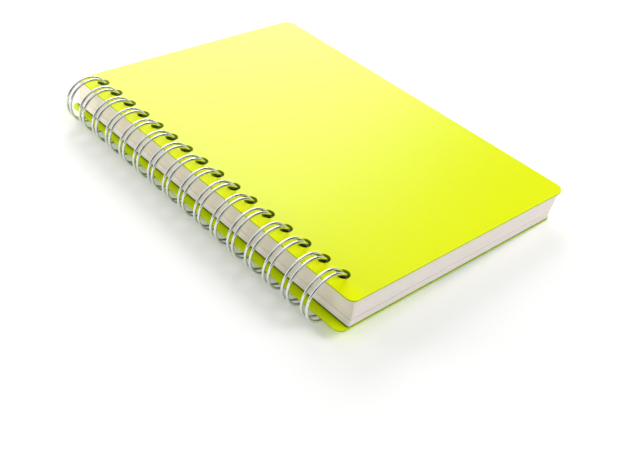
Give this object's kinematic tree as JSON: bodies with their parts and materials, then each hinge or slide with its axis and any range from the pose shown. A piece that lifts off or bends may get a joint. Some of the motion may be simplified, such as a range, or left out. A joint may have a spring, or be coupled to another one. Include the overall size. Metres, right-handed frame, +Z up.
{
  "type": "wire-bound notebook",
  "caption": "Closed wire-bound notebook: stiff plastic covers and a thick block of sheets on one long edge's row of round twin wire loops, lying flat on a table.",
  "frame": {"origin": "centre of the footprint on the table: the bounding box's bottom centre", "axes": "+X from the bound spine edge to the fore edge, +Y along the spine from tail to head, +Z up from the table"},
  "size_m": [0.1632, 0.217, 0.0258],
  "materials": {
    "front_cover": "satin, fresh lime, slightly translucent sheet",
    "back_cover": "satin, fresh lime, slightly translucent sheet",
    "page_block": "uncoated white paper with cut edges",
    "binding_wire": "bright silver coated wire"
  },
  "bodies": {
    "pages": {"page_block": "page_block", "binding_wire": "binding_wire"},
    "front_cover": {"front_cover": "front_cover"},
    "back_cover": {"back_cover": "back_cover"}
  },
  "joints": [
    {"name": "front_cover_hinge", "type": "hinge", "parent": "pages", "child": "front_cover", "pos_m": [-0.06873, 0, 0.0129], "axis": [0, -1, 0], "range_deg": [0, 110]},
    {"name": "back_cover_hinge", "type": "hinge", "parent": "pages", "child": "back_cover", "pos_m": [-0.06873, 0, 0.0129], "axis": [0, 1, 0], "range_deg": [0, 25]}
  ]
}
